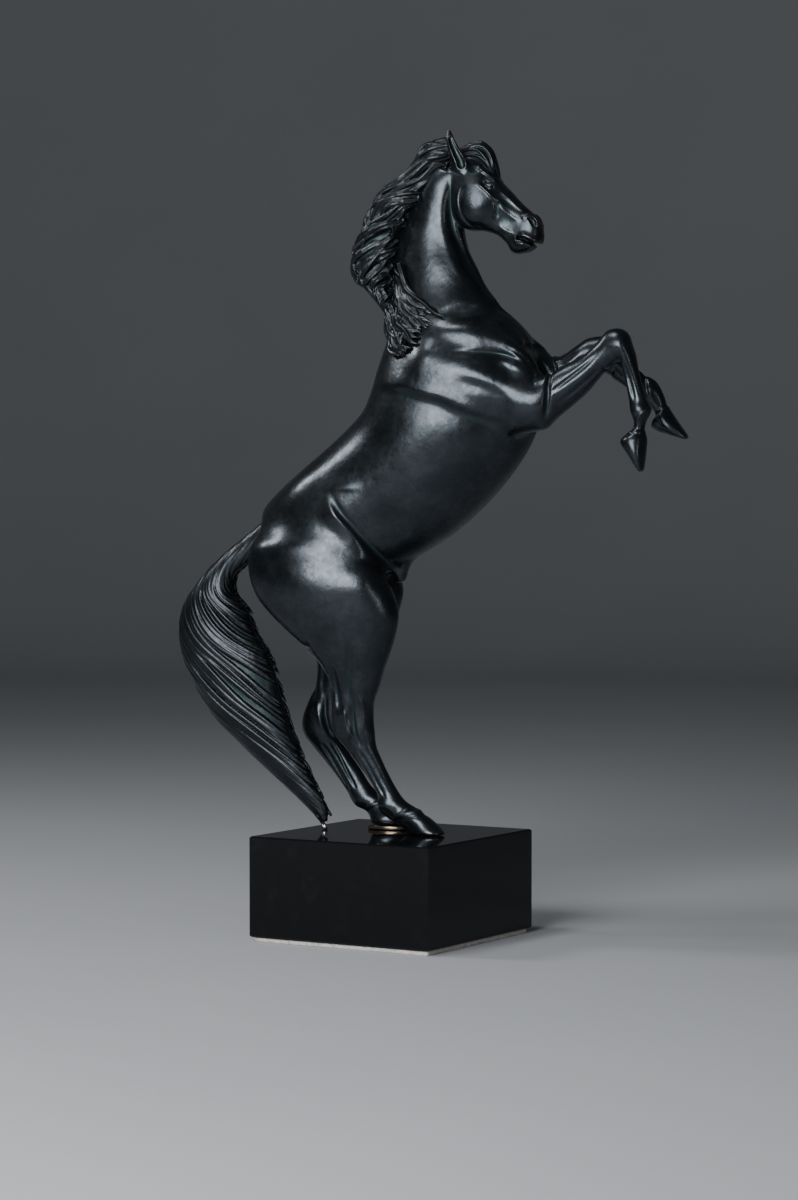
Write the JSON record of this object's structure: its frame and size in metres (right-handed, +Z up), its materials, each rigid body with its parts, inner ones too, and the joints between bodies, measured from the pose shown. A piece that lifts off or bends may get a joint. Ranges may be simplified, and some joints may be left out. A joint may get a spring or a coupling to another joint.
{
  "type": "horse statuette",
  "caption": "Rearing horse cast in dark patinated bronze, standing on its hind hooves and tail on a polished black stone block with a felt pad.",
  "frame": {"origin": "centre of the felt pad's lower face, on which the statue rests", "axes": "+Z up; +X along the block's side that the horse faces, so the horse rears towards +X; +Y towards the horse's left"},
  "size_m": [0.4046, 0.16, 0.6255],
  "materials": {
    "bronze": "near-black blue-grey patina, semi-gloss wax, warm brown wear on edges",
    "stone": "polished black stone",
    "felt": "pale fibrous felt",
    "steel": "bright steel"
  },
  "bodies": {
    "root": {"stone_block": "stone", "felt_pad": "felt", "body_casting": "bronze", "neck_casting": "bronze", "head_casting": "bronze", "mane_casting": "bronze", "forelock_casting": "bronze", "tail_casting": "bronze", "right_foreleg": "bronze", "left_foreleg": "bronze", "right_hind_leg": "bronze", "left_hind_leg": "bronze", "left_hoof_plate": "bronze", "head_dowel": "bronze", "tail_dowel": "bronze", "right_foreleg_dowel": "bronze", "left_foreleg_dowel": "bronze", "right_hind_leg_dowel": "bronze", "left_hind_leg_dowel": "bronze", "right_hoof_stud": "steel", "right_hoof_washer": "steel", "right_hoof_nut": "steel", "left_hoof_stud": "steel", "left_hoof_washer": "steel", "left_hoof_nut": "steel", "tail_pin": "steel"}
  },
  "joints": []
}
